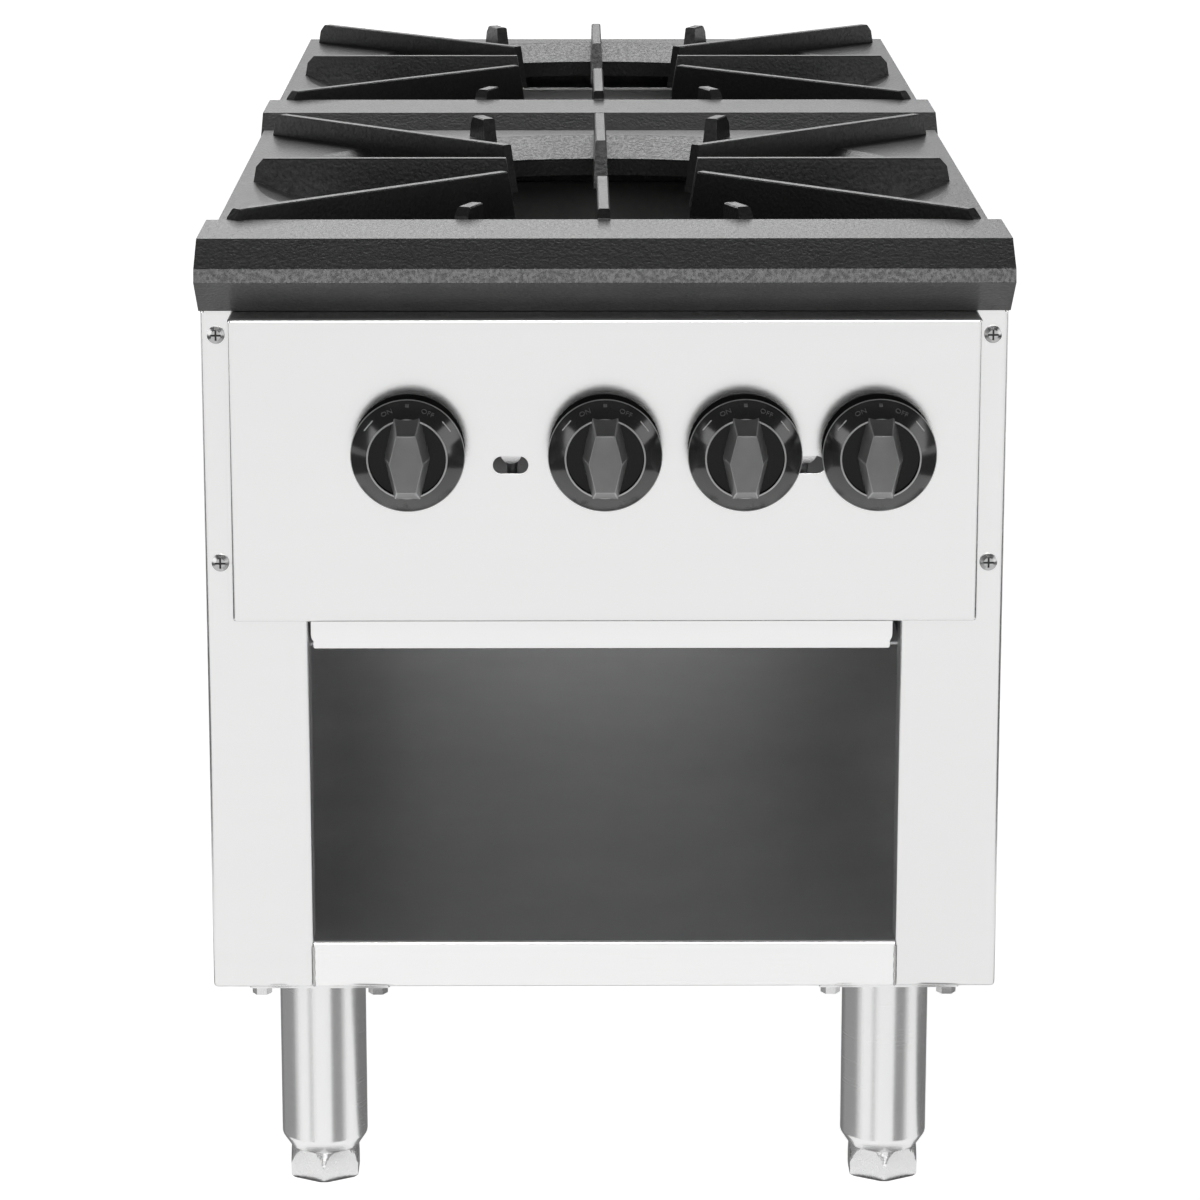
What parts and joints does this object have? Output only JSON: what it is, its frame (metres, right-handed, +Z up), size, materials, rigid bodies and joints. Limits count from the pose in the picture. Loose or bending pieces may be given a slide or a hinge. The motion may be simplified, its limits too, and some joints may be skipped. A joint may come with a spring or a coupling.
{
  "type": "two-burner gas stock-pot range",
  "caption": "Floor-standing gas stock-pot range, burners front and back under cast-iron grates, skirted knobs, drip tray, open storage base and screw feet.",
  "frame": {"origin": "middle of the footprint, on the floor", "axes": "+Z up, +Y from the knob side to the gas inlet side, +X to the right as seen from the knobs"},
  "size_m": [0.457, 1.161, 0.5785],
  "materials": {
    "stainless": "brushed stainless sheet",
    "galvanised": "dull galvanised sheet",
    "screw_steel": "bright plated",
    "cast_iron": "rough casting, dark",
    "black_plastic": "glossy black",
    "leg_steel": "turned and polished",
    "foot_metal": "smooth die casting",
    "black_pipe": "black pipe",
    "brass": "machined brass",
    "tube_alloy": "drawn tube"
  },
  "bodies": {
    "range_body": {"back_panel": "stainless", "base_channel_front": "galvanised", "base_channel_rear": "galvanised", "bottom_shelf": "stainless", "control_panel": "stainless", "front_burner_frame": "galvanised", "front_crossmember": "galvanised", "front_inner_burner": "cast_iron", "front_inner_valve": "brass", "front_outer_burner": "cast_iron", "front_outer_valve": "brass", "inlet_locknut": "black_pipe", "left_side_panel": "stainless", "leg_bolts": "screw_steel", "leg_front_left": "leg_steel", "leg_front_right": "leg_steel", "leg_rear_left": "leg_steel", "leg_rear_right": "leg_steel", "manifold": "black_pipe", "manifold_bracket_left": "galvanised", "manifold_bracket_right": "galvanised", "manifold_elbow": "black_pipe", "mid_crossmember": "galvanised", "orifice_spuds": "brass", "pilot_line_front": "tube_alloy", "pilot_line_rear": "tube_alloy", "pilot_valve_front": "brass", "pilot_valve_rear": "brass", "rear_burner_frame": "galvanised", "rear_inner_burner": "cast_iron", "rear_inner_tube": "tube_alloy", "rear_inner_valve": "brass", "rear_outer_burner": "cast_iron", "rear_outer_tube": "tube_alloy", "rear_outer_valve": "brass", "right_side_panel": "stainless", "sheet_screws": "screw_steel", "supply_pipe": "black_pipe", "tray_runner_left": "galvanised", "tray_runner_right": "galvanised"},
    "front_grate": {"front_grate": "cast_iron"},
    "rear_grate": {"rear_grate": "cast_iron"},
    "drip_tray": {"drip_tray": "stainless"},
    "front_outer_knob": {"front_outer_knob": "black_plastic", "front_outer_stem": "brass"},
    "front_inner_knob": {"front_inner_knob": "black_plastic", "front_inner_stem": "brass"},
    "rear_outer_knob": {"rear_outer_knob": "black_plastic", "rear_outer_stem": "brass"},
    "rear_inner_knob": {"rear_inner_knob": "black_plastic", "rear_inner_stem": "brass"},
    "front_outer_shutter": {"front_outer_shutter": "galvanised"},
    "front_inner_shutter": {"front_inner_shutter": "galvanised"},
    "rear_outer_shutter": {"rear_outer_shutter": "galvanised"},
    "rear_inner_shutter": {"rear_inner_shutter": "galvanised"},
    "foot_front_left": {"foot_front_left": "foot_metal"},
    "foot_front_right": {"foot_front_right": "foot_metal"},
    "foot_rear_left": {"foot_rear_left": "foot_metal"},
    "foot_rear_right": {"foot_rear_right": "foot_metal"}
  },
  "joints": [
    {"name": "front_grate_lift", "type": "slide", "parent": "range_body", "child": "front_grate", "axis": [0, 0, 1], "range_m": [0, 0.25]},
    {"name": "rear_grate_lift", "type": "slide", "parent": "range_body", "child": "rear_grate", "axis": [0, 0, 1], "range_m": [0, 0.25]},
    {"name": "drip_tray_slide", "type": "slide", "parent": "range_body", "child": "drip_tray", "axis": [0, -1, 0], "range_m": [0, 0.75]},
    {"name": "front_outer_knob_turn", "type": "hinge", "parent": "range_body", "child": "front_outer_knob", "pos_m": [-0.11, -0.5445, 0.4567], "axis": [0, -1, 0], "range_deg": [0, 90]},
    {"name": "front_inner_knob_turn", "type": "hinge", "parent": "range_body", "child": "front_inner_knob", "pos_m": [0, -0.5445, 0.4567], "axis": [0, -1, 0], "range_deg": [0, 90]},
    {"name": "rear_outer_knob_turn", "type": "hinge", "parent": "range_body", "child": "rear_outer_knob", "pos_m": [0.078, -0.5445, 0.4567], "axis": [0, -1, 0], "range_deg": [0, 90]},
    {"name": "rear_inner_knob_turn", "type": "hinge", "parent": "range_body", "child": "rear_inner_knob", "pos_m": [0.153, -0.5445, 0.4567], "axis": [0, -1, 0], "range_deg": [0, 90]},
    {"name": "front_outer_shutter_turn", "type": "hinge", "parent": "range_body", "child": "front_outer_shutter", "pos_m": [-0.11, -0.4364, 0.479], "axis": [0, 1, 0], "range_deg": [0, 45]},
    {"name": "front_inner_shutter_turn", "type": "hinge", "parent": "range_body", "child": "front_inner_shutter", "pos_m": [0, -0.4364, 0.479], "axis": [0, 1, 0], "range_deg": [0, 45]},
    {"name": "rear_outer_shutter_turn", "type": "hinge", "parent": "range_body", "child": "rear_outer_shutter", "pos_m": [-0.11, 0.1116, 0.479], "axis": [0, 1, 0], "range_deg": [0, 45]},
    {"name": "rear_inner_shutter_turn", "type": "hinge", "parent": "range_body", "child": "rear_inner_shutter", "pos_m": [0, 0.1116, 0.479], "axis": [0, 1, 0], "range_deg": [0, 45]},
    {"name": "foot_front_left_screw", "type": "slide", "parent": "range_body", "child": "foot_front_left", "axis": [0, 0, -1], "range_m": [0, 0.025]},
    {"name": "foot_front_right_screw", "type": "slide", "parent": "range_body", "child": "foot_front_right", "axis": [0, 0, -1], "range_m": [0, 0.025]},
    {"name": "foot_rear_left_screw", "type": "slide", "parent": "range_body", "child": "foot_rear_left", "axis": [0, 0, -1], "range_m": [0, 0.025]},
    {"name": "foot_rear_right_screw", "type": "slide", "parent": "range_body", "child": "foot_rear_right", "axis": [0, 0, -1], "range_m": [0, 0.025]}
  ]
}
